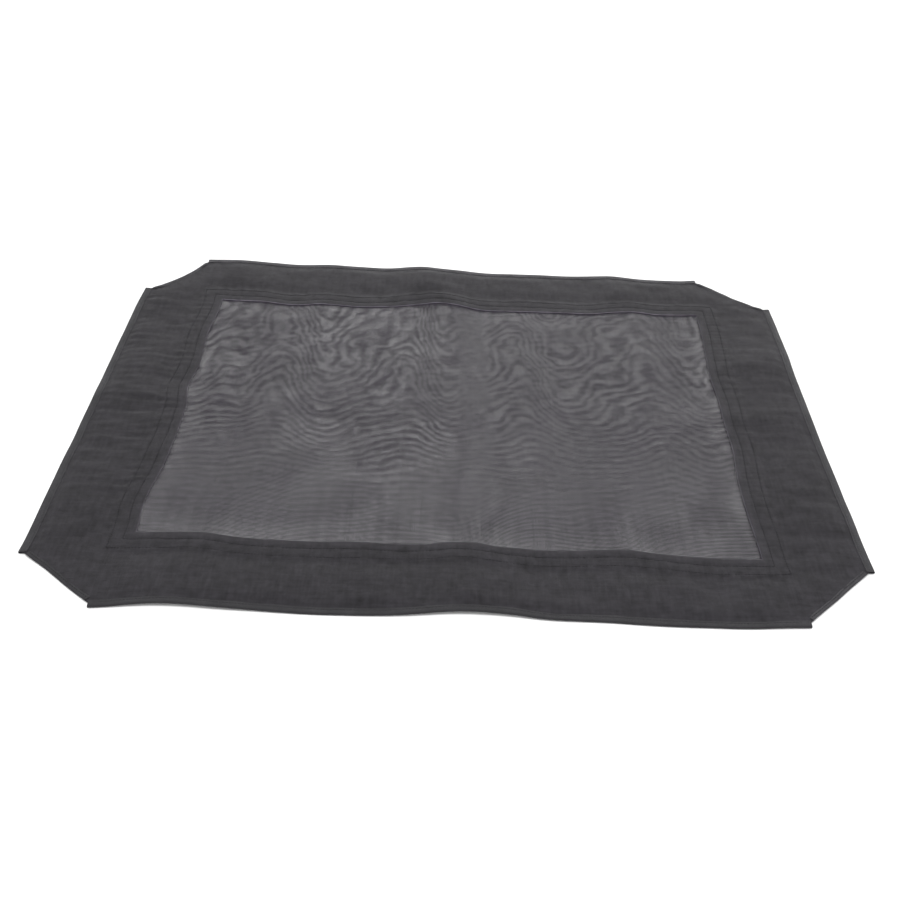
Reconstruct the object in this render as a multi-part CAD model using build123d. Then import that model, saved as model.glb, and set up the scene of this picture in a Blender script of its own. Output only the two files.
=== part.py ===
from build123d import *
import os

# Removable sling cover of a raised pet cot, lying flat.
# A see-through mesh panel is sewn into a border of heavy woven cloth.
# Under each side of the border lies a second strip of cloth, sewn to it
# along the outer edge and round the window, so each side is a flat pocket
# that is open at both ends and takes one tube of the cot's frame.
# Origin: middle of the footprint, on the surface that the cover lies on.
# +X runs along the long sides, +Y from the front to the back, +Z up.
# "in" below means the distance inward from the outer edge of a side.

# ---- driving dimensions, mm -------------------------------------------
LENGTH = 813.0          # outer size along X
WIDTH = 635.0           # outer size along Y
BORDER = 98.0           # outer edge to the edge of the window
TIP = 77.0              # virtual corner to the square end of a bound edge
CHAMFER = 82.0          # u + v on the bevelled edge of the top cloth,
                        # u and v measured from the virtual corner

CLOTH = 0.6             # woven cloth
MESH = 0.7              # mesh
TAPE = 0.5              # binding tape

EDGE_TAPE_W = 8.0       # finished width of the folded edge binding
CORNER_TAPE_W = 5.0     # finished width of the binding on a bevelled corner
LAP = 24.0              # mesh caught between the two cloths
PUFF_START = 8.5        # where the pocket's top cloth leaves the edge seam
PUFF_FULL = 16.0        # where it reaches its full height
PUFF_END = 60.0         # where it starts down again
PUFF_SEAM = 73.0        # where it meets the seam round the window
POCKET_H = 5.6          # clear height in the pocket, lying slack
CORNER_TAPE_IN = 10.5   # the corner binding stops this far from each edge
MOUTH_HEM = 12.0        # turned-in hem at a pocket's mouth
MOUTH_END = TIP + 1.0   # end of a pocket's lower cloth

ROW_IN = BORDER - 10.0  # inner row of stitches round the window
ROW_OUT = BORDER - 22.0 # outer row
THREAD_W = 0.8
THREAD_H = 0.4

# ---- levels ------------------------------------------------------------
Z_LOW0 = TAPE                   # underside of the pockets' lower cloth
Z_LOW1 = Z_LOW0 + CLOTH
Z_EDGE1 = Z_LOW1 + CLOTH        # top cloth at the edge seam, upper face
Z_MESH1 = Z_LOW1 + MESH
Z_SEAM1 = Z_MESH1 + CLOTH       # top cloth over the mesh, upper face
Z_PUFF0 = Z_LOW1 + POCKET_H     # top cloth over the pocket, lower face
Z_PUFF1 = Z_PUFF0 + CLOTH
Z_HEM1 = Z_LOW1 + CLOTH         # turned-in hem of the lower cloth

os.makedirs("parts", exist_ok=True)


def prism(pts, z0, z1):
    """Upright prism on a plan outline."""
    face = make_face(Polyline(*[(x, y, z0) for x, y in pts], close=True).edges())
    return extrude(face, amount=z1 - z0, dir=(0, 0, 1))


def bar(section, half):
    """Bar along X with a (in, z) section, from -half to +half."""
    face = make_face(Polyline(*[(-half, y, z) for y, z in section], close=True).edges())
    return extrude(face, amount=2 * half, dir=(1, 0, 0))


def ribbon(line, below, above):
    """Closed section between a line moved down and the same line moved up."""
    return [(y, z - below) for y, z in line] + [(y, z + above) for y, z in reversed(line)]


# Each side is drawn as the front one, with its outer edge on y = 0, and
# then turned into place.
SIDES = {
    "front": (LENGTH, Location((0, -WIDTH / 2, 0), (0, 0, 0))),
    "right": (WIDTH, Location((LENGTH / 2, 0, 0), (0, 0, 90))),
    "back": (LENGTH, Location((0, WIDTH / 2, 0), (0, 0, 180))),
    "left": (WIDTH, Location((-LENGTH / 2, 0, 0), (0, 0, -90))),
}

# Lower face of the top cloth, from the outer edge to the window.
TOP_LINE = [
    (TAPE, Z_LOW1), (PUFF_START, Z_LOW1), (PUFF_FULL, Z_PUFF0),
    (PUFF_END, Z_PUFF0), (PUFF_SEAM, Z_MESH1), (BORDER, Z_MESH1),
]


def top_outline(L, chamfer):
    """Plan of one border panel: bevelled, then mitred to the window corner."""
    m = chamfer / 2
    return [
        (-(L / 2 - chamfer + TAPE), TAPE), (L / 2 - chamfer + TAPE, TAPE),
        (L / 2 - m, m), (L / 2 - BORDER, BORDER),
        (-(L / 2 - BORDER), BORDER), (-(L / 2 - m), m),
    ]


def border_panel(L):
    cloth = bar(ribbon(TOP_LINE, 0, CLOTH), L / 2)
    inset = CHAMFER + TAPE * 2 ** 0.5
    return cloth & prism(top_outline(L, inset), -1, 20)


def pocket_panel(L):
    h = L / 2 - MOUTH_END
    n = L / 2 - BORDER
    flat = prism([(-h, TAPE), (h, TAPE), (h, MOUTH_END), (n, BORDER),
                  (-n, BORDER), (-h, MOUTH_END)], Z_LOW0, Z_LOW1)
    for s in (-1, 1):
        hem = Pos(s * (h - MOUTH_HEM / 2), (EDGE_TAPE_W + PUFF_END) / 2 + 1.0,
                  (Z_LOW1 + Z_HEM1) / 2) * Box(MOUTH_HEM, PUFF_END - EDGE_TAPE_W - 2.0, CLOTH)
        flat = flat + hem
    return flat


def edge_binding(L):
    """Tape folded over the edges of both cloths, with square ends."""
    w, t = EDGE_TAPE_W, TAPE
    top = Z_EDGE1 + t
    section = [(0, 0), (w, 0), (w, t), (t, t), (t, Z_EDGE1), (w, Z_EDGE1), (w, top), (0, top)]
    return bar(section, L / 2 - TIP)


def half_corner_tape(L, s):
    """The part of a corner binding that lies on one border panel."""
    line = [p for p in TOP_LINE if p[0] > CORNER_TAPE_IN]
    rise = (Z_PUFF0 - Z_LOW1) / (PUFF_FULL - PUFF_START)
    line = [(CORNER_TAPE_IN, Z_LOW1 + rise * (CORNER_TAPE_IN - PUFF_START))] + line[:2]
    thick = bar(ribbon(line, TAPE, CLOTH + TAPE), L / 2)
    far = CHAMFER + CORNER_TAPE_W * 2 ** 0.5
    u = L / 2
    # strip between the bevel and a line CORNER_TAPE_W inside it, up to the mitre
    strip = prism([
        (s * (u - CHAMFER), 0.0), (s * (u - CHAMFER / 2), CHAMFER / 2),
        (s * (u - far / 2), far / 2), (s * (u - far), 0.0)], -1, 20)
    return thick & strip


# ---- pieces ------------------------------------------------------------
parts = {}
local = {}

mx = LENGTH - 2 * (BORDER - LAP)
my = WIDTH - 2 * (BORDER - LAP)
parts["mesh_panel"] = Pos(0, 0, (Z_LOW1 + Z_MESH1) / 2) * Box(mx, my, MESH)

for side, (L, place) in SIDES.items():
    parts[side + "_border_panel"] = place * border_panel(L)
    parts[side + "_pocket_panel"] = place * pocket_panel(L)
    parts[side + "_edge_binding"] = place * edge_binding(L)
    local[side] = {s: place * half_corner_tape(L, s) for s in (-1, 1)}

# On each side drawn as the front one, -1 is its left end.
CORNERS = {
    "front_left": (("front", -1), ("left", 1)),
    "front_right": (("front", 1), ("right", -1)),
    "back_right": (("right", 1), ("back", -1)),
    "back_left": (("back", 1), ("left", -1)),
}
for name, ((side_a, end_a), (side_b, end_b)) in CORNERS.items():
    tape = local[side_a][end_a] + local[side_b][end_b]
    tape = tape - parts[side_a + "_border_panel"] - parts[side_b + "_border_panel"]
    parts[name + "_corner_binding"] = tape


def loop(inset, z0):
    """Closed row of stitches, a thin rectangular ring."""
    a, b = LENGTH - 2 * inset, WIDTH - 2 * inset
    ring = Rectangle(a + THREAD_W, b + THREAD_W) - Rectangle(a - THREAD_W, b - THREAD_W)
    return extrude(Pos(0, 0, z0) * ring, amount=THREAD_H, dir=(0, 0, 1))


def group(solids):
    return Compound(children=[s for c in solids for s in c.solids()])


for name, inset in (("window_stitching_inner", ROW_IN), ("window_stitching_outer", ROW_OUT)):
    parts[name] = group([loop(inset, Z_SEAM1), loop(inset, Z_LOW0 - THREAD_H)])

edge_rows, mouth_rows, corner_rows = [], [], []
top = Z_EDGE1 + TAPE
for side, (L, place) in SIDES.items():
    edge_rows.append(place * (Pos(0, EDGE_TAPE_W - 1.8, top + THREAD_H / 2)
                              * Box(L - 2 * TIP - 4, THREAD_W, THREAD_H)))
    for s in (-1, 1):
        mouth_rows.append(place * (Pos(s * (L / 2 - MOUTH_END - MOUTH_HEM + 2.5), 34.0,
                                       Z_LOW0 - THREAD_H / 2)
                                   * Box(THREAD_W, 48.0, THREAD_H)))
parts["edge_stitching"] = group(edge_rows)
parts["pocket_mouth_stitching"] = group(mouth_rows)

# Rows on the corner bindings, on their level stretch.
row = CHAMFER / 2 + (CORNER_TAPE_W - 1.8) * 2 ** 0.5 / 2
span = (CHAMFER - 2 * PUFF_FULL - 2.0) * 2 ** 0.5
for sx in (-1, 1):
    for sy in (-1, 1):
        px, py = sx * (LENGTH / 2 - row), sy * (WIDTH / 2 - row)
        corner_rows.append(Location((px, py, Z_PUFF1 + TAPE + THREAD_H / 2),
                                    (0, 0, -45 * sx * sy))
                           * Box(span, THREAD_W, THREAD_H))
parts["corner_stitching"] = group(corner_rows)

for node, shape in parts.items():
    export_step(shape, "parts/%s.step" % node)

print("nodes", len(parts), "height", Z_PUFF1 + TAPE + THREAD_H)
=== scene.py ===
# Flat cover of a raised pet cot: woven border with frame pockets, open mesh middle.
import bpy
import math
import numpy as np
from mathutils import Matrix, Vector


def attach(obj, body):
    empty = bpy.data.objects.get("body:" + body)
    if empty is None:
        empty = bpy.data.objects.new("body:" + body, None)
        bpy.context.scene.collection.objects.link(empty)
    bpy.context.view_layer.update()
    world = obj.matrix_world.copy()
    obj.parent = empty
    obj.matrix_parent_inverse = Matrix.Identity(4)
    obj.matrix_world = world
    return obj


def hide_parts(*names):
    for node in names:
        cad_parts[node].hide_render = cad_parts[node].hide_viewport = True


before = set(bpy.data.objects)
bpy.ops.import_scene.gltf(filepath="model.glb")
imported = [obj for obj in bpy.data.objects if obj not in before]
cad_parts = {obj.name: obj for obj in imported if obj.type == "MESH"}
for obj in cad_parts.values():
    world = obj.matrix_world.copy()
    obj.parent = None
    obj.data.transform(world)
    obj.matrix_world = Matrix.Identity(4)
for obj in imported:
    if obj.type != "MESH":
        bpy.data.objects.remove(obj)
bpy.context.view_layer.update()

# ------------------------------------------------------------------ sizes, mm
L, W = 813.0, 635.0          # outer size
B = 98.0                     # outer edge to window edge
TIP, CH = 77.0, 82.0         # square end of a bound edge; u + v on a bevel
MOUTH = 78.0                 # end of a pocket's lower cloth
ROW_IN, ROW_OUT = 88.0, 76.0
TAPE_W, CORNER_W = 8.0, 5.0    # finished widths of the bindings
LAP = 24.0
SQ2 = math.sqrt(2.0)
SIDES = {  # length, turn about Z, middle of the outer edge
    "front": (L, 0.0, (0.0, -W / 2)),
    "right": (W, 90.0, (L / 2, 0.0)),
    "back": (L, 180.0, (0.0, W / 2)),
    "left": (W, -90.0, (-L / 2, 0.0)),
}


def place(side, q, v):
    """Side coordinates (q along the edge, v inward) to plan coordinates, mm."""
    length, turn, (ox, oy) = SIDES[side]
    c, s = math.cos(math.radians(turn)), math.sin(math.radians(turn))
    q, v = np.asarray(q, float), np.asarray(v, float)
    return ox + c * q - s * v, oy + s * q + c * v


# ------------------------------------------------- how the cloth lies, in mm
def table(pairs, sigma=11.0):
    """Smooth curve through (position, value) pairs."""
    xs, ys = np.array(pairs, float).T
    g = np.arange(-480.0, 481.0, 2.0)
    v = np.interp(g, xs, ys)
    k = np.exp(-0.5 * (np.arange(-40, 41) * 2.0 / sigma) ** 2)
    k /= k.sum()
    v = np.convolve(np.pad(v, 40, mode="edge"), k, mode="valid")
    return lambda q: np.interp(q, g, v)


# Lift of each outer edge off the floor.
lift = {
    "front": table([(-406, 0), (-330, 0.3), (-290, 1.8), (-255, 3), (-215, 2), (-160, 0.8),
                    (-110, 0), (-60, 0.6), (-25, 2), (15, 3), (50, 2.4), (90, 1), (140, 0.4),
                    (185, 0), (250, 0.2), (300, 0.6), (330, 0.3), (406, 0)]),
    "back": table([(-406, 0.8), (-335, 3), (-295, 4.2), (-240, 2.6), (-200, 1.6), (-170, 2.8),
                   (-120, 1.2), (-85, 1), (-48, 4.4), (-10, 2.6), (30, 0.6), (80, 1.2), (120, 0.3),
                   (165, 0.3), (210, 2.8), (245, 0.5), (300, 1.2), (335, 0.5), (406, 0)]),
    "left": table([(-320, 0), (-245, .4), (-180, .6), (-100, .6), (-30, .8), (10, 3.4), (45, 1.2),
                   (110, .6), (170, 1.6), (240, 4.0), (320, 1)]),
    "right": table([(-320, 0), (-240, .4), (-170, 1.6), (-110, .4), (-40, .8), (5, 2.6), (50, .8),
                    (120, 2.0), (180, .6), (240, .4), (320, 0)]),
}
# Shift of the outer edge and of the window edge in the plane: towards +Y for
# front and back, towards +X for left and right.
outer = {
    "front": table([(-330, -0.4), (-300, 1.8), (-270, 4.5), (-240, 4.8), (-210, 3.1), (-180, 3),
                    (-150, 1.2), (-120, -0.4), (-90, -0.2), (-60, 1), (-30, 3.2), (0, 6.4),
                    (30, 6), (60, 4), (90, 0.1), (120, 0.3), (150, 0.2), (180, -1.9), (210, -2.8),
                    (240, -1.9), (270, -1.7), (300, 0.2), (330, 1.2)]),
    "back": table([(-330, 1.7), (-300, 3.2), (-270, 1.7), (-240, 1.3), (-210, 0.3), (-180, 1.2),
                   (-150, -0.3), (-120, -0.2), (-90, -1.8), (-60, -0.2), (-30, -0.9), (0, -1.7),
                   (30, -4.9), (60, -6.1), (90, -4.3), (120, -4), (150, -6.6), (180, -5),
                   (210, -4.4), (240, -7.6), (270, -10.1), (300, -10.4), (330, -10.4)]),
    "left": table([(-240, -5), (-210, -5.1), (-180, -4.4), (-150, -3.6), (-120, -2.8), (-90, -3.4),
                   (-60, -3.7), (-30, -2.5), (0, 0), (30, 0.4), (60, -1.3), (90, -1.8),
                   (120, -1.6), (150, -0.4), (180, 1.2), (210, 1.2), (240, 0.8)]),
    "right": table([(-240, 0.1), (-210, 0.2), (-180, -0.7), (-150, -0.5), (-120, 1.1), (-90, 1.3),
                    (-60, 0.6), (-30, -1.3), (0, -2.1), (30, 0.7), (60, 1.5), (90, 1.4),
                    (120, 1.5), (150, 2.6), (180, 3.4), (210, 3.4), (240, 3.8)]),
}
window = {
    "front": table([(-306, 2.2), (-280, 2.3), (-255, 3.2), (-230, 2.6), (-204, -0.7), (-178, -3.3),
                    (-153, -4.5), (-128, -3.7), (-102, -1.2), (-76, -1.5), (-51, -3.4),
                    (-26, -2.8), (0, 0.6), (26, -1.8), (51, -5.5), (76, -7.3), (102, -6.3),
                    (128, -4.1), (153, -2.6), (178, -3), (204, -8.4), (230, -10.2), (255, -11.3),
                    (280, -10.2), (306, -8.5)], 9),
    "back": table([(-306, 3.9), (-280, 3.5), (-255, 0.9), (-230, -4.5), (-204, -5.6), (-178, 0.1),
                   (-153, -1.6), (-128, -4.6), (-102, -3.2), (-76, 0.6), (-51, 4.8), (-26, 9.1),
                   (0, 3.3), (26, -3.5), (51, -4.4), (76, -3.1), (102, -2.3), (128, -2.6),
                   (153, -5), (178, -5.1), (204, 0.1), (230, 5.3), (255, -1.5), (280, -0.7),
                   (306, 2)], 9),
    "left": table([(-210, 0.7), (-180, -1.9), (-150, 1.2), (-120, 5), (-90, 6.6), (-60, 8.5),
                   (-30, 7.7), (0, 8.7), (30, 0.5), (60, 6.3), (90, 6.8), (120, 3.5), (150, 3.4),
                   (180, 6), (210, 8)], 10),
    "right": table([(-210, -6.9), (-180, -6.7), (-150, -7.8), (-120, -8.6), (-90, -6.4), (-60, -3),
                    (-30, -2.8), (0, -4.3), (30, -2.5), (60, -2.9), (90, -5.2), (120, -2.6),
                    (150, -0.3), (180, 2), (210, 2.7)], 10),
}


def smooth(t):
    t = np.clip(t, 0.0, 1.0)
    return t * t * (3.0 - 2.0 * t)


def waves(x, y, pitch, n, seed, spread=0.35):
    """Even noise of about unit height from n plane waves of about one pitch."""
    r = np.random.default_rng(seed)
    out = np.zeros_like(x)
    for _ in range(n):
        a = r.uniform(0, 2 * math.pi)
        k = 2 * math.pi / (pitch * math.exp(r.normal(0, spread)))
        out += np.sin(k * (x * math.cos(a) + y * math.sin(a)) + r.uniform(0, 2 * math.pi))
    return out * math.sqrt(2.0 / n)


def ridge(x, y, points, width):
    """Height of a soft ridge along a line of (x, y, height) points."""
    best = np.full_like(x, 1e9)
    high = np.zeros_like(x)
    for (ax, ay, ah), (bx, by, bh) in zip(points, points[1:]):
        dx, dy = bx - ax, by - ay
        t = np.clip(((x - ax) * dx + (y - ay) * dy) / (dx * dx + dy * dy), 0, 1)
        d = np.hypot(x - ax - t * dx, y - ay - t * dy)
        near = d < best
        best = np.where(near, d, best)
        high = np.where(near, ah + (bh - ah) * t, high)
    return high * np.exp(-((best / width) ** 2))


# Creases left from having been folded, and a few soft folds in the border.
RIDGES = [
    ([(12, -330, .6), (16, -240, 2.6), (26, -150, 2.0), (36, -40, 1.5), (36, 80, 1.5),
      (16, 180, 2.0), (-18, 240, 2.8), (-46, 320, .6)], 24.0),
    ([(-420, 10, .8), (-330, 8, 1.7), (-180, 4, .9), (20, -4, .5), (200, 0, .9),
      (330, 4, 1.6), (420, 4, .8)], 20.0),
    ([(-262, -318, .3), (-248, -250, 1.8), (-236, -190, .9), (-228, -130, .2)], 22.0),
    ([(-300, 320, .5), (-262, 262, 2.0), (-236, 205, 1.2), (-216, 150, .3)], 24.0),
    ([(214, 320, .3), (206, 262, 1.6), (190, 200, .8), (180, 140, .2)], 20.0),
    ([(205, -300, .2), (212, -255, 1.3), (205, -205, .8), (196, -150, .2)], 20.0),
    ([(-398, -52, .5), (-352, -38, 1.3), (-306, -32, .6)], 15.0),
    ([(404, -175, .4), (352, -160, 1.4), (306, -140, .7)], 20.0),
    ([(402, 122, .4), (356, 112, 1.4), (308, 96, .6)], 18.0),
]


def bevel_middle(sx, sy):
    return sx * (L / 2 - CH / 2), sy * (W / 2 - CH / 2)


# Local pulls in the plane at the corners: where, shift and reach, mm.
PULLS = [
    (*bevel_middle(-1, -1), -1.4, -1.4, 36.0),
    (*bevel_middle(1, 1), -3.4, -3.4, 36.0),
    (*bevel_middle(-1, 1), 2.8, -2.8, 36.0),
    (*bevel_middle(1, -1), 1.0, -1.0, 36.0),
    (-406.5, -240.5, 0.0, -9.0, 34.0),
    (406.5, -240.5, 0.0, -3.0, 30.0),
    (-329.5, -317.5, 2.4, 0.0, 30.0),
    (329.5, 317.5, -9.0, 0.0, 34.0),
    (-329.5, 317.5, -5.5, 0.0, 32.0),
    (387.5, 250.5, -2.0, -2.0, 26.0),
    (339.5, 298.5, 2.0, 2.0, 26.0),
    (-387.5, 250.5, 3.0, -3.0, 26.0),
    (-333.5, 308.5, -1.5, 1.5, 24.0),
    (406.5, 240.5, 0.0, 1.5, 30.0),
]


def lie(x, y):
    """Plan shift and lift of the cloth at a plan point, all in mm."""
    x, y = np.asarray(x, float), np.asarray(y, float)
    vf, vb, vl, vr = y + W / 2, W / 2 - y, x + L / 2, L / 2 - x

    def plan(v, q, side):
        past = (np.abs(q) - (SIDES[side][0] / 2 - B)) / 62.0
        a, b = outer[side](q), window[side](q) * (1 - smooth(past))
        t = smooth(v / B)
        return np.where(v < B, a * (1 - t) + b * t, b * (1 - smooth((v - B) / 150.0)))

    dy = plan(vf, x, "front") + plan(vb, x, "back")
    dx = plan(vl, y, "left") + plan(vr, y, "right")
    for cx, cy, sx, sy, reach in PULLS:
        g = np.exp(-((x - cx) ** 2 + (y - cy) ** 2) / reach ** 2)
        dx += sx * g
        dy += sy * g
    h = np.zeros_like(x)
    for v, q, side in ((vf, x, "front"), (vb, x, "back"), (vl, y, "left"), (vr, y, "right")):
        # positions along left and right follow +Y, along front and back +X
        h += lift[side](q) * (1 - smooth(v / 118.0))
    for points, width in RIDGES:
        h += ridge(x, y, points, width)
    n = 0.42 * waves(x, y, 210.0, 14, 5) + 0.30 * waves(x, y, 95.0, 18, 6)
    n += 0.10 * waves(x, y, 42.0, 22, 7)
    h += 0.9 * np.logaddexp(0.0, (n + 0.15) / 0.55) * 0.62
    dx += 0.5 * waves(x, y, 120.0, 12, 11)
    dy += 0.5 * waves(x, y, 120.0, 12, 12)
    return dx, dy, h


def warp(p):
    """Flat coordinates in mm to where the cloth lies, in metres."""
    dx, dy, h = lie(p[..., 0], p[..., 1])
    return np.stack([p[..., 0] + dx, p[..., 1] + dy, p[..., 2] + h], -1) * 0.001


# --------------------------------------------------------------- mesh making
def make(name, verts, faces, smooth_shade=True):
    """Object from an (n, 3) array in metres and an (m, k) array of faces."""
    me = bpy.data.meshes.new(name)
    verts = np.ascontiguousarray(verts.reshape(-1, 3), np.float32)
    groups = faces if isinstance(faces, list) else [faces]
    loops = np.concatenate([f.reshape(-1) for f in groups]).astype(np.int32)
    sizes = np.concatenate([np.full(len(f), f.shape[1]) for f in groups]).astype(np.int32)
    starts = np.concatenate([[0], np.cumsum(sizes)[:-1]]).astype(np.int32)
    me.vertices.add(len(verts))
    me.vertices.foreach_set("co", verts.reshape(-1))
    me.loops.add(len(loops))
    me.loops.foreach_set("vertex_index", loops)
    me.polygons.add(len(sizes))
    me.polygons.foreach_set("loop_start", starts)
    me.polygons.foreach_set("use_smooth", np.full(len(sizes), smooth_shade))
    me.update(calc_edges=True)
    me.validate()
    ob = bpy.data.objects.new(name, me)
    bpy.context.scene.collection.objects.link(ob)
    return ob


def grid_faces(ni, nj, base=0, flip=False):
    i, j = np.meshgrid(np.arange(ni - 1), np.arange(nj - 1), indexing="ij")
    a = base + i * nj + j
    f = np.stack([a, a + nj, a + nj + 1, a + 1], -1).reshape(-1, 4)
    return f[:, ::-1] if flip else f


def rest_pieces(obj, node):
    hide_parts(*([node] if isinstance(node, str) else node))
    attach(obj, "root")
    return obj


def shell(p, mm, base=0):
    """Closed cloth of a given thickness round a grid of points in metres."""
    ni, nj = p.shape[:2]
    n = np.cross(np.gradient(p, axis=0), np.gradient(p, axis=1))
    n /= np.maximum(np.linalg.norm(n, axis=-1, keepdims=True), 1e-12)
    half = n * (mm * 0.0005)
    verts = np.concatenate([(p + half).reshape(-1, 3), (p - half).reshape(-1, 3)])
    top = grid_faces(ni, nj, base)
    under = base + ni * nj
    low = grid_faces(ni, nj, under, flip=True)
    i, j = np.arange(ni - 1), np.arange(nj - 1)

    def rim(a, b):
        return np.stack([base + b, base + a, under + a, under + b], -1)

    rims = [rim(i * nj, (i + 1) * nj), rim((i + 1) * nj + nj - 1, i * nj + nj - 1),
            rim((ni - 1) * nj + j, (ni - 1) * nj + j + 1), rim(j + 1, j)]
    return verts, np.concatenate([top, low] + rims)


def cloth_object(name, sheets, painted_lightening=None):
    """One object from (points in metres, thickness in mm) grids.

    The last argument is how much lighter the first grid's colour is made at each point, for the material: mostly
    painted light and painted sheen.
    """
    verts, faces, base = [], [], 0
    for p, mm in sheets:
        v, f = shell(p, mm, base)
        verts.append(v)
        faces.append(f)
        base += len(v)
    ob = make(name, np.concatenate(verts), np.concatenate(faces))
    ob.data.set_sharp_from_angle(angle=math.radians(58))
    if painted_lightening is not None:
        values = np.zeros(len(ob.data.vertices), np.float32)
        flat = np.tile(np.asarray(painted_lightening, np.float32).reshape(-1), 2)
        values[:len(flat)] = flat
        layer = ob.data.attributes.new("painted_lightening", "FLOAT", "POINT")
        layer.data.foreach_set("value", values)
    return ob


# ------------------------------------------------------------ the upper cloth
def pillow(v, e=None):
    """Height of the upper cloth's middle over the floor, v mm in from the edge.

    e is the same distance, rounded where two sides meet at a window corner.
    """
    v = np.asarray(v, float)
    e = v if e is None else e
    rise = smooth((v - 7.6) / 15.0) ** 0.85
    fall = 1 - smooth((e - 46.0) / 28.0)
    puff = 2.1 * rise * fall
    seam = 1.5 + 0.72 * smooth((e - 68.0) / 8.0)
    for a, b, high in ((77.0, 87.2, 0.15), (88.8, 97.8, 0.24)):
        seam = seam + high * np.sin(math.pi * np.clip((e - a) / (b - a), 0, 1)) ** 0.7
    seam = seam - 0.12 * np.exp(-((v - ROW_OUT) / 2.0) ** 2) - 0.10 * np.exp(-((v - ROW_IN) / 1.7) ** 2)
    return seam, puff


V_TOP = [0.8, 3, 5.5, 7.6, 8.4, 9.4, 10.6, 12, 13.6, 15.5, 18, 21, 25, 30, 35, 41.4, 44.5, 49, 54,
         58, 62, 66, 69, 71.5, 73.4, 74.5, 75.3, 76, 76.7, 77.5, 78.6, 80.5, 82.5, 84.4, 85.8,
         86.8, 87.4, 88, 88.6, 89.2, 90.2, 92, 94, 95.6, 96.6, 97.4]
# the window edge is turned under, back between the mesh and the upper cloth
FOLD = [(97.9, 2.10), (98.2, 1.92), (98.1, 1.72), (97.5, 1.62), (95.0, 1.62), (90.0, 1.62),
        (86.0, 1.62)]


def side_span(length, v, bevel):
    """Half length of a border strip, v mm in from its edge."""
    v = np.asarray(v, float)
    return length / 2 - np.maximum(v, bevel - v)


def upper_cloth(side, step=2.1):
    length = SIDES[side][0]
    vs = np.array(V_TOP + [f[0] for f in FOLD])
    n = int(round(length / step))
    half = side_span(length, vs, CH + 0.5)
    t = np.linspace(-1, 1, n)
    q = t[:, None] * half[None, :]
    v = np.broadcast_to(vs, q.shape)
    u = length / 2 - np.abs(q)
    e = B - (np.clip(B - u, 0, None) ** 4 + np.clip(B - v, 0, None) ** 4) ** 0.25
    x, y = place(side, q, v)
    seam, puff = pillow(v, e)
    bevel = (u + v - CH) / SQ2
    # the pocket's fullness differs along it, and it is flat by the bevels
    full = {"front": 0.85, "back": 0.6, "left": 1.0, "right": 1.0}[side]
    full = 0.85 + (full - 0.85) * smooth((u - v) / 60.0)
    uneven = 1.0 + 0.30 * waves(x, y, 150.0, 10, 21) + 0.14 * waves(x, y, 60.0, 12, 22)
    z = seam + puff * full * uneven * (0.10 + 0.90 * smooth(bevel / 46.0))
    off_mitre = smooth((u - v) / 22.0)
    seed = {"front": 231, "right": 232, "back": 233, "left": 234}[side]
    # drag lines square to the seams, and small gathers along the rows
    drag = waves(q, v * 0.22, 19.0, 14, seed) * smooth((v - 9) / 8) * np.where(v < 74, 1, .4)
    near = (np.exp(-((v - ROW_OUT) / 8.0) ** 2) + 0.8 * np.exp(-((v - ROW_IN) / 6.0) ** 2)
            + 0.7 * np.exp(-((v - 11.0) / 6.0) ** 2))
    gather = waves(q, v * 0.12, 9.5, 16, seed + 10, 0.22) * near
    z = z + (0.19 * drag + 0.11 * gather) * off_mitre * (v < 97)
    turned = np.concatenate([np.full(len(V_TOP), np.nan), [f[1] for f in FOLD]])
    z = np.where(np.isnan(turned), z, turned)
    # painted light: the hem at the window is made lighter against the shade at its edge, most of all on its shaded
    # fold face, and more on the back than on the other sides
    painted_lightening = smooth((e - 87.5) / 9.0) * (0.75 + 0.25 * waves(q, v, 34.0, 12, seed + 20))
    fold_painted_light = np.interp(np.arange(len(vs)), np.arange(len(V_TOP) - 2, len(V_TOP) + 4),
                        [0.0, 1.2, 10.0, 13.0, 13.0, 8.0]) * (1.4 if side == "back" else 0.45)
    painted_lightening = painted_lightening + fold_painted_light[None, :] * (np.arange(len(vs)) > len(V_TOP) - 2)
    # and the cloth is made a little lighter by the bevels, more at some ends than at others
    ends = {"front": (0.0, 0.8), "right": (0.8, 0.4), "back": (0.4, 0.4), "left": (0.4, 0.0)}[side]
    painted_lightening = painted_lightening + np.where(q > 0, ends[1], ends[0]) * np.exp(-((bevel / 17.0) ** 2))
    return cloth_object(side + "_border_cloth", [(warp(np.stack([x, y, z], -1)), 0.55)], painted_lightening)


# ------------------------------------------------------------ the lower cloth
V_LOW = [0.8, 3, 5.5, 8, 11, 15, 20, 27, 35, 43, 51, 59, 66, 72, 75, 77.9, 78.0, 82, 87, 92, 95, 97.6]


def lower_cloth(side, step=4.0):
    length = SIDES[side][0]
    vs = np.array(V_LOW)
    n = int(round(length / step))
    half = length / 2 - np.maximum(vs, MOUTH)
    t = np.linspace(-1, 1, n)
    q = t[:, None] * half[None, :]
    v = np.broadcast_to(vs, q.shape)
    x, y = place(side, q, v)
    z = 0.90 - 0.28 * smooth((v - 7.0) / 8.0) + 0.06 * waves(x, y, 30.0, 12, 31) * (v > 12) * (v < 72)
    sheets = [(warp(np.stack([x, y, z], -1)), 0.5)]
    # hems turned in at the two mouths
    for s in (-1, 1):
        end = length / 2 - MOUTH
        along = np.array([end - 0.3, end + 0.12, end + 0.12, end - 0.3, end - 1.4, end - 5, end - 9,
                          end - 12.0])
        zz = np.array([0.88, 0.98, 1.12, 1.22, 1.26, 1.26, 1.26, 1.22])
        hv = np.linspace(9.5, 66.0, 16)
        qq, vv = np.meshgrid(s * along, hv, indexing="ij")
        hx, hy = place(side, qq, vv)
        sheets.append((warp(np.stack([hx, hy, np.broadcast_to(zz[:, None], qq.shape)], -1)), 0.45))
    return cloth_object(side + "_pocket_cloth", sheets)


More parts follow.
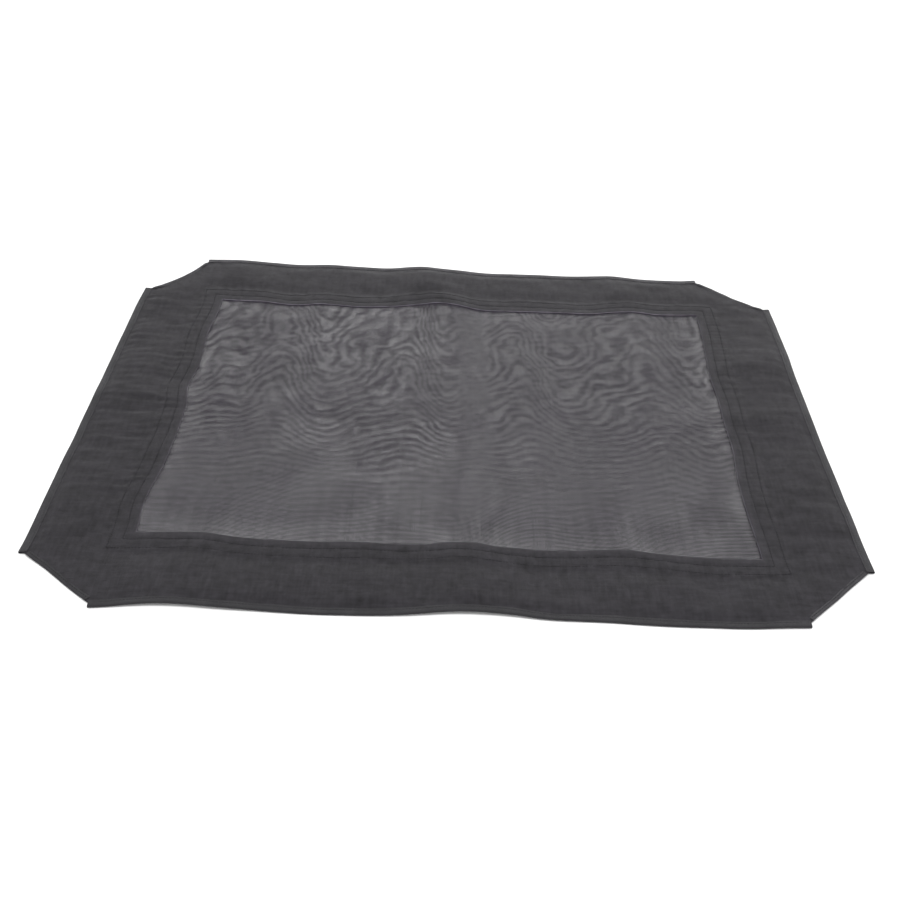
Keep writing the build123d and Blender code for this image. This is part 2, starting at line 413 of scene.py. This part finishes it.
# ------------------------------------------------------------------ the tapes
# folded tape, across: (distance in from the fold, height)
TAPE = [(8.0, .30), (6.5, .27), (4.0, .27), (2.0, .28), (.9, .38), (.38, .68), (.25, 1.15),
        (.38, 1.66), (.9, 1.98), (2.0, 2.10), (4.0, 2.14), (6.3, 2.08), (7.4, 2.08), (8.0, 2.0)]


# Painted sheen: how much lighter each length of tape is made, most on the back and its corners, whose rounded edges
# catch light at a grazing angle.
TAPE_PAINTED_SHEEN = {"front": 0.0, "left": 0.9, "right": 0.9, "back": 3.6, "front_left": 0.0,
          "front_right": 2.0, "back_right": 3.0, "back_left": 3.0}


def edge_tape(side, step=2.2):
    length = SIDES[side][0]
    half = length / 2 - TIP
    n = int(round(2 * half / step))
    q = np.linspace(-half, half, n)
    prof = np.array(TAPE)
    qq = np.broadcast_to(q[:, None], (n, len(prof))).copy()
    vv = np.broadcast_to(prof[:, 0], qq.shape).copy()
    zz = np.broadcast_to(prof[:, 1], qq.shape).copy()
    r = np.random.default_rng({"front": 41, "back": 42, "left": 43, "right": 44}[side])
    # the inner edge wanders a little, and the ends gape
    wander = np.interp(q, np.linspace(-half, half, 60), r.normal(0, 0.28, 60))
    inner = np.clip((prof[:, 0] - 4.0) / 4.0, 0, 1)
    vv += wander[:, None] * inner
    gape = np.exp(-((half - np.abs(q)) / 9.0) ** 2)
    middle = 1.15
    zz = np.where(zz > middle, zz + 0.55 * gape[:, None], zz)
    # pulled down by the stitches
    zz = zz - 0.14 * np.exp(-((vv - 6.3) / 0.9) ** 2) * (zz > middle)
    x, y = place(side, qq, vv)
    # painted sheen along the tape, from the table of tape lightening above
    painted_lightening = TAPE_PAINTED_SHEEN[side] * (0.85 + 0.18 * waves(qq, vv, 22.0, 12, 61)) + 0 * zz
    return cloth_object(side + "_edge_tape", [(warp(np.stack([x, y, zz], -1)), 0.42)], painted_lightening)


CORNERS = {  # node, plan signs
    "front_left": (-1, -1),
    "front_right": (1, -1),
    "back_right": (1, 1),
    "back_left": (-1, 1),
}


def corner_point(sx, sy, a, w):
    """a mm along a bevel from its middle, w mm inside it, to plan coordinates."""
    u = CH / 2 + a / SQ2 + w / SQ2
    v = CH / 2 - a / SQ2 + w / SQ2
    return sx * (L / 2 - u), sy * (W / 2 - v)


def corner_height(a):
    """Extra height of a bevel, a mm from its middle: it climbs over the edges."""
    return 0.62 * smooth((np.abs(a) - 30.0) / 14.0) + 0.0


def corner_tape(corner):
    sx, sy = CORNERS[corner]
    half = (CH / 2 - 8.3) * SQ2
    n = 56
    a = np.linspace(-half, half, n)
    prof = np.array(TAPE)
    prof[:, 0] = np.where(prof[:, 0] > 2, 2 + (prof[:, 0] - 2) * (CORNER_W - 2) / (TAPE_W - 2), prof[:, 0])
    aa = np.broadcast_to(a[:, None], (n, len(prof))).copy()
    ww = np.broadcast_to(prof[:, 0], aa.shape).copy()
    zz = np.broadcast_to(prof[:, 1], aa.shape).copy()
    r = np.random.default_rng({"front_left": 51, "front_right": 52, "back_right": 53,
                               "back_left": 54}[corner])
    wander = np.interp(a, np.linspace(-half, half, 14), r.normal(0, 0.3, 14))
    ww += wander[:, None] * np.clip((prof[:, 0] - 3.0) / 2.0, 0, 1)
    zz = zz - 0.18 * np.exp(-((ww - 3.4) / 0.8) ** 2) * (zz > 1.15) + corner_height(aa)
    x, y = corner_point(sx, sy, aa, ww)
    # painted sheen along the corner tape, from the same table
    painted_lightening = TAPE_PAINTED_SHEEN[corner] * (0.85 + 0.18 * waves(aa, ww, 22.0, 12, 62)) + 0 * zz
    return cloth_object(corner + "_corner_tape", [(warp(np.stack([x, y, zz], -1)), 0.42)], painted_lightening)


# ---------------------------------------------------------------- stitches
def stitches(name, runs):
    """Separate stitches. Each run is (start xyz, end xyz arrays, up) in flat mm."""
    rings = np.array([0.0, 0.12, 0.5, 0.88, 1.0])
    wide = np.array([0.12, 0.30, 0.36, 0.30, 0.12])
    tall = np.array([-0.26, 0.0, 0.16, 0.0, -0.26])
    seg = 6
    ang = np.arange(seg) * 2 * math.pi / seg
    verts, faces, base = [], [], 0
    for a, b, up in runs:
        a, b = np.asarray(a, float), np.asarray(b, float)
        d = b - a
        d2 = d[:, :2] / np.linalg.norm(d[:, :2], axis=1, keepdims=True)
        side = np.stack([-d2[:, 1], d2[:, 0], np.zeros(len(d))], -1)
        mid = a[:, None, :] + rings[None, :, None] * d[:, None, :]
        mid[..., 2] += up * tall[None, :]
        ring = (mid[:, :, None, :]
                + side[:, None, None, :] * (wide[None, :, None] * np.cos(ang)[None, None, :])[..., None])
        ring[..., 2] += 0.8 * (wide[None, :, None] * np.sin(ang)[None, None, :])
        n = len(a)
        verts.append(warp(ring).reshape(-1, 3))
        s, r, k = np.meshgrid(np.arange(n), np.arange(len(rings) - 1), np.arange(seg), indexing="ij")
        i0 = base + s * len(rings) * seg + r * seg
        f = np.stack([i0 + k, i0 + (k + 1) % seg, i0 + seg + (k + 1) % seg, i0 + seg + k], -1)
        faces.append(f.reshape(-1, 4))
        s, k = np.meshgrid(np.arange(n), np.array([1, 3]), indexing="ij")
        c0 = base + s * len(rings) * seg
        faces.append(np.stack([c0, c0 + (k + 2) % seg, c0 + k + 1, c0 + k], -1).reshape(-1, 4))
        c1 = c0 + (len(rings) - 1) * seg
        faces.append(np.stack([c1, c1 + k, c1 + k + 1, c1 + (k + 2) % seg], -1).reshape(-1, 4))
        base += n * len(rings) * seg
    return make(name, np.concatenate(verts), np.concatenate(faces))


def run_line(p0, p1, z, pitch=3.3, gap=0.55, up=1, seed=1, height=None):
    """Stitches along a straight row, in flat mm."""
    p0, p1 = np.array(p0, float), np.array(p1, float)
    length = np.linalg.norm(p1 - p0)
    n = max(2, int(round(length / pitch)))
    r = np.random.default_rng(seed)
    s = np.arange(n) / n
    e = s + (1 - gap / pitch) / n
    d = (p1 - p0)
    nrm = np.array([-d[1], d[0]]) / length
    j0, j1 = r.normal(0, 0.07, n), r.normal(0, 0.07, n)
    a = p0 + s[:, None] * d + j0[:, None] * nrm
    b = p0 + e[:, None] * d + j1[:, None] * nrm
    za = np.full(n, z) if height is None else height(s)
    zb = np.full(n, z) if height is None else height(e)
    return np.c_[a, za], np.c_[b, zb], up


# ------------------------------------------------------------- the open mesh
PITCH_X, PITCH_Y = 1.04, 1.80     # between warp yarns, between weft yarns
YARN_X, YARN_Y = 0.665, 0.99       # yarn widths


def unevenness(x, y):
    """Thick and thin places in the weft, in long curved bands; about -1 to 1."""
    # bands lie across at the front and turn steep in scallops towards the back
    g = np.arange(-250.0, 251.0, 1.0)
    back = smooth((g + 70.0) / 170.0)
    turns = np.cumsum((1.0 - 0.56 * back) / (8.3 + 0.0125 * (g + 220.0) + 1.0 * back))
    along = np.interp(y, g, turns)
    back = smooth((y + 110.0) / 210.0)
    turn = 2 * math.pi * (x - 6.0 + 0.07 * y + 9.0 * np.sin(x / 61.0)) / 146.0
    deep = (0.12 + 2.1 * smooth((y + 165.0) / 200.0)) * (0.62 + 0.38 * np.exp(-(((x - 10.0) / 150.0) ** 2)))
    scallop = (np.cos(turn) - 0.25 * np.sin(2 * turn)) * (deep + 0.35 * back)
    wander = 0.34 * waves(x, y * 0.7, 92.0, 12, 92) + 0.34 * back * waves(x, y * 0.6, 58.0, 14, 91)
    wander += (0.07 + 0.06 * back) * waves(x, y, 26.0, 14, 95)
    bands = np.sin(2 * math.pi * (along + scallop + wander))
    strength = (0.55 + 0.45 * smooth((y + 200.0) / 120.0)) * (1.0 + 0.20 * waves(x, y, 85.0, 12, 93))
    plain = 1 - 0.9 * np.exp(-((x - 24.0 + 0.04 * y) / 19.0) ** 4) * smooth((y + 120.0) / 120.0)
    blotch = 0.30 * back * waves(x * 0.8, y * 0.8, 24.0, 20, 96, 0.25)
    return (bands * strength + blotch) * plain + (
        0.18 + 0.15 * smooth((y + 200.0) / 150.0)) * waves(x * 0.5, y, 9.0, 24, 94, 0.25)


def by_hem(x, y):
    """1 at the front and side hems and 0 well inside, where the sewing opens the mesh."""
    return 1 - smooth(np.minimum(L / 2 - B - np.abs(x), W / 2 - B + y) / 30.0)


def open_mesh():
    hx, hy = L / 2 - B + LAP, W / 2 - B + LAP
    nx, ny = int(2 * hx / PITCH_X), int(2 * hy / PITCH_Y)
    r = np.random.default_rng(71)
    xs = (np.arange(nx) - (nx - 1) / 2) * PITCH_X + r.normal(0, 0.02, nx)
    ys = (np.arange(ny) - (ny - 1) / 2) * PITCH_Y + r.normal(0, 0.02, ny)
    z0 = 1.12
    verts, faces, base = [], [], 0
    for weft in (False, True):
        if weft:
            across, along, width, off = ys, np.linspace(-hx, hx, 286), YARN_Y, -0.13
        else:
            across, along, width, off = xs, np.linspace(-hy, hy, 31), YARN_X, 0.13
        n, m = len(across), len(along)
        c = across[:, None] + np.zeros(m)
        a = along[None, :] + np.zeros(n)[:, None]
        w = width * (1 + r.normal(0, 0.03, n))[:, None] * np.ones(m)
        z = np.full_like(a, z0 + off)
        if weft:
            w = w * (1 + (0.20 + 0.25 * smooth((c + 160.0) / 170.0)) * unevenness(a, c))
            w = w * 0.97 * (1 - 0.10 * (1 - smooth((c + 150.0) / 200.0))) * (1 - 0.11 * by_hem(a, c))
            w = np.clip(w, 0.40, 1.68)
            p = np.stack([np.stack([a, c + w / 2, z], -1), np.stack([a, c - w / 2, z], -1)], 2)
        else:
            # a slow change in spacing along the front
            w = w * (1 + 0.05 * np.sin(2 * math.pi * c / 15.2) * (1 - smooth((a + 190.0) / 70.0)))
            w = w * (1 - 0.11 * by_hem(c, a))
            p = np.stack([np.stack([c - w / 2, a, z], -1), np.stack([c + w / 2, a, z], -1)], 2)
        verts.append(p.reshape(-1, 3))
        i, j = np.meshgrid(np.arange(n), np.arange(m - 1), indexing="ij")
        f = base + (i * m + j) * 2
        faces.append(np.stack([f, f + 1, f + 3, f + 2], -1).reshape(-1, 4))
        base += n * m * 2
    v = np.concatenate(verts)
    # yarns drift a little in the plane
    v[:, 0] += 0.9 * waves(v[:, 0], v[:, 1], 150.0, 9, 72) + 0.16 * waves(v[:, 0], v[:, 1], 60.0, 12, 73)
    v[:, 1] += 0.9 * waves(v[:, 0], v[:, 1], 160.0, 9, 74) + 0.16 * waves(v[:, 0], v[:, 1], 60.0, 12, 75)
    inside = smooth((np.minimum(L / 2 - B - np.abs(v[:, 0]), W / 2 - B - np.abs(v[:, 1]))) / 40.0)
    v[:, 2] += inside * (0.7 + 0.5 * waves(v[:, 0], v[:, 1], 120.0, 14, 76))
    ob = make("open_mesh", warp(v), np.concatenate(faces))
    # painted light: the yarn along the back hem made lighter, against the shade there under the hem's fold
    hem_painted_light = ob.data.attributes.new("painted_lightening", "FLOAT", "POINT")
    near = np.clip((W / 2 - B - v[:, 1]) / 3.4, 0, None)
    hem_painted_light.data.foreach_set("value", (2.3 * np.exp(-near ** 2)).astype(np.float32))
    return ob


# ------------------------------------------------------------------ materials
def nodes_of(name):
    m = bpy.data.materials.new(name)
    m.use_nodes = True
    nt = m.node_tree
    b = nt.nodes["Principled BSDF"]
    return m, nt, b


def link(nt, a, b):
    nt.links.new(a, b)


def math_node(nt, op, a, b=None, c=None):
    n = nt.nodes.new("ShaderNodeMath")
    n.operation = op
    for i, v in enumerate((a, b, c)):
        if v is None:
            continue
        if isinstance(v, (int, float)):
            n.inputs[i].default_value = v
        else:
            nt.links.new(v, n.inputs[i])
    return n.outputs[0]


def noise_node(nt, vec, scale, detail=2.0, rough=0.5):
    n = nt.nodes.new("ShaderNodeTexNoise")
    n.inputs["Scale"].default_value = scale
    n.inputs["Detail"].default_value = detail
    n.inputs["Roughness"].default_value = rough
    nt.links.new(vec, n.inputs["Vector"])
    return n.outputs["Fac"]


def scaled(nt, vec, sx, sy, sz):
    n = nt.nodes.new("ShaderNodeMapping")
    n.inputs["Scale"].default_value = (sx, sy, sz)
    nt.links.new(vec, n.inputs["Vector"])
    return n.outputs["Vector"]


def ramp(nt, fac, stops):
    n = nt.nodes.new("ShaderNodeValToRGB")
    cr = n.color_ramp
    cr.elements[0].position, cr.elements[0].color = stops[0][0], (*stops[0][1], 1)
    cr.elements[1].position, cr.elements[1].color = stops[-1][0], (*stops[-1][1], 1)
    for pos, col in stops[1:-1]:
        e = cr.elements.new(pos)
        e.color = (*col, 1)
    nt.links.new(fac, n.inputs["Fac"])
    return n.outputs["Color"]


def lightened_colour(nt, col):
    """The colour made lighter by the per-point lightening attribute where it is more than 0: mostly painted light and
    painted sheen.
    """
    painted_lightening = nt.nodes.new("ShaderNodeAttribute")
    painted_lightening.attribute_name = "painted_lightening"
    gain = nt.nodes.new("ShaderNodeVectorMath")
    gain.operation = "SCALE"
    nt.links.new(col, gain.inputs[0])
    nt.links.new(math_node(nt, "MULTIPLY_ADD", painted_lightening.outputs["Fac"], 0.34, 1.0), gain.inputs["Scale"])
    return gain.outputs["Vector"]


def cloth_material(name, dark, light, weave=0.0006, bump=0.00012, rough=0.86, sheen=0.25):
    """Heavy plain-woven cloth: crossed yarns, slubs and slight unevenness."""
    m, nt, b = nodes_of(name)
    co = nt.nodes.new("ShaderNodeTexCoord").outputs["Object"]
    sep = nt.nodes.new("ShaderNodeSeparateXYZ")
    link(nt, co, sep.inputs[0])
    k = 2 * math.pi / weave
    sx = math_node(nt, "SINE", math_node(nt, "MULTIPLY", sep.outputs["X"], k))
    sy = math_node(nt, "SINE", math_node(nt, "MULTIPLY", sep.outputs["Y"], k))
    weave_h = math_node(nt, "MULTIPLY", sx, sy)
    long_x = noise_node(nt, scaled(nt, co, 30, 900, 30), 1.0, 2.0)
    long_y = noise_node(nt, scaled(nt, co, 900, 30, 30), 1.0, 2.0)
    broad = noise_node(nt, co, 9.0, 3.0, 0.6)
    grain = noise_node(nt, co, 700.0, 2.0, 0.6)
    patch = noise_node(nt, co, 120.0, 2.0, 0.65)
    slub_x = noise_node(nt, scaled(nt, co, 45, 260, 45), 1.0, 1.0)
    slub_y = noise_node(nt, scaled(nt, co, 260, 45, 45), 1.0, 1.0)
    mix = math_node(nt, "MULTIPLY", broad, 0.15)
    for part, share in ((long_x, 0.12), (long_y, 0.12), (grain, 0.08), (patch, 0.25),
                        (slub_x, 0.14), (slub_y, 0.14)):
        mix = math_node(nt, "ADD", mix, math_node(nt, "MULTIPLY", part, share))
    link(nt, lightened_colour(nt, ramp(nt, mix, [(0.36, dark), (0.64, light)])), b.inputs["Base Color"])
    h = math_node(nt, "ADD", math_node(nt, "MULTIPLY", weave_h, 0.5),
                  math_node(nt, "ADD", math_node(nt, "MULTIPLY", long_x, 0.8), math_node(nt, "MULTIPLY", long_y, 0.8)))
    bm = nt.nodes.new("ShaderNodeBump")
    bm.inputs["Strength"].default_value = 0.55
    bm.inputs["Distance"].default_value = bump
    link(nt, h, bm.inputs["Height"])
    link(nt, bm.outputs["Normal"], b.inputs["Normal"])
    r = math_node(nt, "MULTIPLY_ADD", grain, 0.12, rough - 0.06)
    link(nt, r, b.inputs["Roughness"])
    b.inputs["Sheen Weight"].default_value = sheen
    b.inputs["Sheen Roughness"].default_value = 0.45
    b.inputs["Specular IOR Level"].default_value = 0.25
    return m


def yarn_material(name, dark, light):
    """Coated polyester yarn of the open mesh."""
    m, nt, b = nodes_of(name)
    co = nt.nodes.new("ShaderNodeTexCoord").outputs["Object"]
    broad = noise_node(nt, co, 14.0, 3.0, 0.6)
    fine = noise_node(nt, co, 260.0, 2.0, 0.6)
    mix = math_node(nt, "ADD", math_node(nt, "MULTIPLY", broad, 0.5), math_node(nt, "MULTIPLY", fine, 0.5))
    link(nt, lightened_colour(nt, ramp(nt, mix, [(0.32, dark), (0.68, light)])), b.inputs["Base Color"])
    bm = nt.nodes.new("ShaderNodeBump")
    bm.inputs["Strength"].default_value = 0.4
    bm.inputs["Distance"].default_value = 0.0001
    link(nt, noise_node(nt, co, 1800.0, 2.0), bm.inputs["Height"])
    link(nt, bm.outputs["Normal"], b.inputs["Normal"])
    link(nt, math_node(nt, "MULTIPLY_ADD", fine, 0.14, 0.48), b.inputs["Roughness"])
    b.inputs["Specular IOR Level"].default_value = 0.3
    return m


def tape_material(name, dark, light):
    """Ribbed binding tape: ribs across the tape, seen as fine cross lines."""
    m, nt, b = nodes_of(name)
    co = nt.nodes.new("ShaderNodeTexCoord").outputs["Object"]
    sep = nt.nodes.new("ShaderNodeSeparateXYZ")
    link(nt, co, sep.inputs[0])
    k = 2 * math.pi / 0.0011
    diag = math_node(nt, "ADD", sep.outputs["X"], sep.outputs["Y"])
    rib = math_node(nt, "SINE", math_node(nt, "MULTIPLY", diag, k))
    grain = noise_node(nt, co, 420.0, 2.0, 0.6)
    broad = noise_node(nt, co, 60.0, 2.0, 0.6)
    mix = math_node(nt, "ADD", math_node(nt, "MULTIPLY", grain, 0.5), math_node(nt, "MULTIPLY", broad, 0.5))
    link(nt, lightened_colour(nt, ramp(nt, mix, [(0.34, dark), (0.68, light)])), b.inputs["Base Color"])
    bm = nt.nodes.new("ShaderNodeBump")
    bm.inputs["Strength"].default_value = 0.5
    bm.inputs["Distance"].default_value = 0.0002
    link(nt, math_node(nt, "ADD", rib, math_node(nt, "MULTIPLY", grain, 1.5)), bm.inputs["Height"])
    link(nt, bm.outputs["Normal"], b.inputs["Normal"])
    link(nt, math_node(nt, "MULTIPLY_ADD", grain, 0.14, 0.74), b.inputs["Roughness"])
    b.inputs["Specular IOR Level"].default_value = 0.25
    b.inputs["Sheen Weight"].default_value = 0.15
    b.inputs["Sheen Roughness"].default_value = 0.45
    return m


def thread_material(name, dark=(0.0120, 0.0116, 0.0129), light=(0.0230, 0.0221, 0.0247)):
    m, nt, b = nodes_of(name)
    co = nt.nodes.new("ShaderNodeTexCoord").outputs["Object"]
    fine = noise_node(nt, co, 900.0, 2.0, 0.6)
    link(nt, ramp(nt, fine, [(0.35, dark), (0.7, light)]), b.inputs["Base Color"])
    link(nt, math_node(nt, "MULTIPLY_ADD", fine, 0.2, 0.6), b.inputs["Roughness"])
    b.inputs["Specular IOR Level"].default_value = 0.15
    return m


cloth = cloth_material("border_cloth", (0.0048, 0.0043, 0.0054), (0.0254, 0.0234, 0.0279), sheen=0.08)
lining = cloth_material("pocket_cloth", (0.0120, 0.0114, 0.0130), (0.0210, 0.0200, 0.0226), rough=0.74, sheen=0.08)
yarn = yarn_material("mesh_yarn", (0.0112, 0.0090, 0.0136), (0.0205, 0.0165, 0.0246))
tape = tape_material("binding_tape", (0.0115, 0.0109, 0.0126), (0.0220, 0.0210, 0.0238))
thread = thread_material("sewing_thread")
edge_thread = thread_material("edge_thread", (0.0230, 0.0222, 0.0244), (0.0400, 0.0388, 0.0424))

# ------------------------------------------------------------------ the build
mesh = open_mesh()
mesh.data.materials.append(yarn)
rest_pieces(mesh, "mesh_panel")


for side, (length, turn, mid) in SIDES.items():
    top = upper_cloth(side)
    top.data.materials.append(cloth)
    rest_pieces(top, side + "_border_panel")
    low = lower_cloth(side)
    low.data.materials.append(lining)
    rest_pieces(low, side + "_pocket_panel")
    edge = edge_tape(side)
    edge.data.materials.append(tape)
    rest_pieces(edge, side + "_edge_binding")

for corner in CORNERS:
    ob = corner_tape(corner)
    ob.data.materials.append(tape)
    rest_pieces(ob, corner + "_corner_binding")

# rows of stitches
for name, inset, seed in (("window_stitching_inner", ROW_IN, 81), ("window_stitching_outer", ROW_OUT, 82)):
    a, b = L / 2 - inset, W / 2 - inset
    ring = [(-a, -b), (a, -b), (a, b), (-a, b), (-a, -b)]
    z_up = float(pillow(inset)[0]) + 0.36
    runs = []
    for k in range(4):
        runs.append(run_line(ring[k], ring[k + 1], z_up, up=1, seed=seed + 10 * k))
        runs.append(run_line(ring[k], ring[k + 1], 0.30, up=-0.3, seed=seed + 10 * k + 5))
    ob = stitches(name + "_rows", runs)
    ob.data.materials.append(thread)
    rest_pieces(ob, name)

runs_e, runs_m, runs_c = [], [], []
for s_i, (side, (length, turn, mid)) in enumerate(SIDES.items()):
    half = length / 2 - TIP - 1.5
    x, y = place(side, np.array([-half, half]), np.array([6.3, 6.3]))
    runs_e.append(run_line((x[0], y[0]), (x[1], y[1]), 2.18, pitch=3.0, seed=100 + s_i))
    for s in (-1, 1):
        q = s * (length / 2 - MOUTH - 9.5)
        x, y = place(side, np.array([q, q]), np.array([10.0, 65.0]))
        runs_m.append(run_line((x[0], y[0]), (x[1], y[1]), 0.30, up=-0.3, seed=120 + 2 * s_i + s))
        runs_m.append(run_line((x[0], y[0]), (x[1], y[1]), 1.52, up=1, seed=140 + 2 * s_i + s))
for c_i, (corner, (sx, sy)) in enumerate(CORNERS.items()):
    half = (CH / 2 - 9.0) * SQ2
    a = np.array([-half, half])
    x, y = corner_point(sx, sy, a, np.array([3.4, 3.4]))
    runs_c.append(run_line((x[0], y[0]), (x[1], y[1]), 0, pitch=3.2, seed=160 + c_i,
                           height=lambda t, h=half: 2.18 + corner_height((2 * t - 1) * h)))
for name, runs in (("edge_stitching", runs_e), ("pocket_mouth_stitching", runs_m), ("corner_stitching", runs_c)):
    ob = stitches(name + "_rows", runs)
    ob.data.materials.append(edge_thread if name == "edge_stitching" else thread)
    rest_pieces(ob, name)

# ------------------------------------------------------------- floor and light
bpy.ops.mesh.primitive_plane_add(size=14.0, location=(0, 0, 0))
floor = bpy.context.object
floor.name = "floor"
fm, nt, b = nodes_of("floor_paper")
b.inputs["Base Color"].default_value = (0.90, 0.90, 0.90, 1)
b.inputs["Roughness"].default_value = 0.9
b.inputs["Specular IOR Level"].default_value = 0.1
floor.data.materials.append(fm)

world = bpy.data.worlds.new("studio")
bpy.context.scene.world = world
world.use_nodes = True
bg = world.node_tree.nodes["Background"]
bg.inputs["Color"].default_value = (1.0, 1.0, 1.0, 1)
bg.inputs["Strength"].default_value = 1.1


def softbox(name, loc, aim, size, power):
    d = bpy.data.lights.new(name, "AREA")
    d.shape = "RECTANGLE"
    d.size, d.size_y = size
    d.energy = power
    ob = bpy.data.objects.new(name, d)
    bpy.context.scene.collection.objects.link(ob)
    ob.location = loc
    ob.rotation_mode = "QUATERNION"
    ob.rotation_quaternion = (Vector(aim) - Vector(loc)).to_track_quat("-Z", "Y")
    return ob


softbox("key", (0.12, -0.75, 2.00), (0, 0, 0), (0.6, 0.5), 25.0)
softbox("rim", (0.0, 1.7, 1.3), (0, 0, 0), (1.6, 0.8), 2.5)
softbox("low_rim", (0.15, 1.5, 0.26), (0, 0.25, 0), (1.8, 0.22), 8.5)

# ------------------------------------------------------------------ the camera
AZ, EL, ROLL = math.radians(-0.44), math.radians(38.53), math.radians(2.04)
DIST, TARGET, FOCAL = 1.1887, Vector((-0.0032, -0.0705, 0.0)), 1098.0
back = Vector((math.sin(AZ) * math.cos(EL), -math.cos(AZ) * math.cos(EL), math.sin(EL)))
right0 = Vector((math.cos(AZ), math.sin(AZ), 0))
up0 = back.cross(right0)
right = math.cos(ROLL) * right0 + math.sin(ROLL) * up0
up = -math.sin(ROLL) * right0 + math.cos(ROLL) * up0
cam_data = bpy.data.cameras.new("camera")
cam = bpy.data.objects.new("camera", cam_data)
bpy.context.scene.collection.objects.link(cam)
rot = Matrix((right, up, back)).transposed()
cam.matrix_world = Matrix.Translation(TARGET + DIST * back) @ rot.to_4x4()
cam_data.sensor_width = 36.0
cam_data.lens = FOCAL / 900.0 * 36.0
cam_data.clip_start, cam_data.clip_end = 0.05, 50.0
bpy.context.scene.camera = cam
bpy.context.scene.view_settings.view_transform = "Standard"
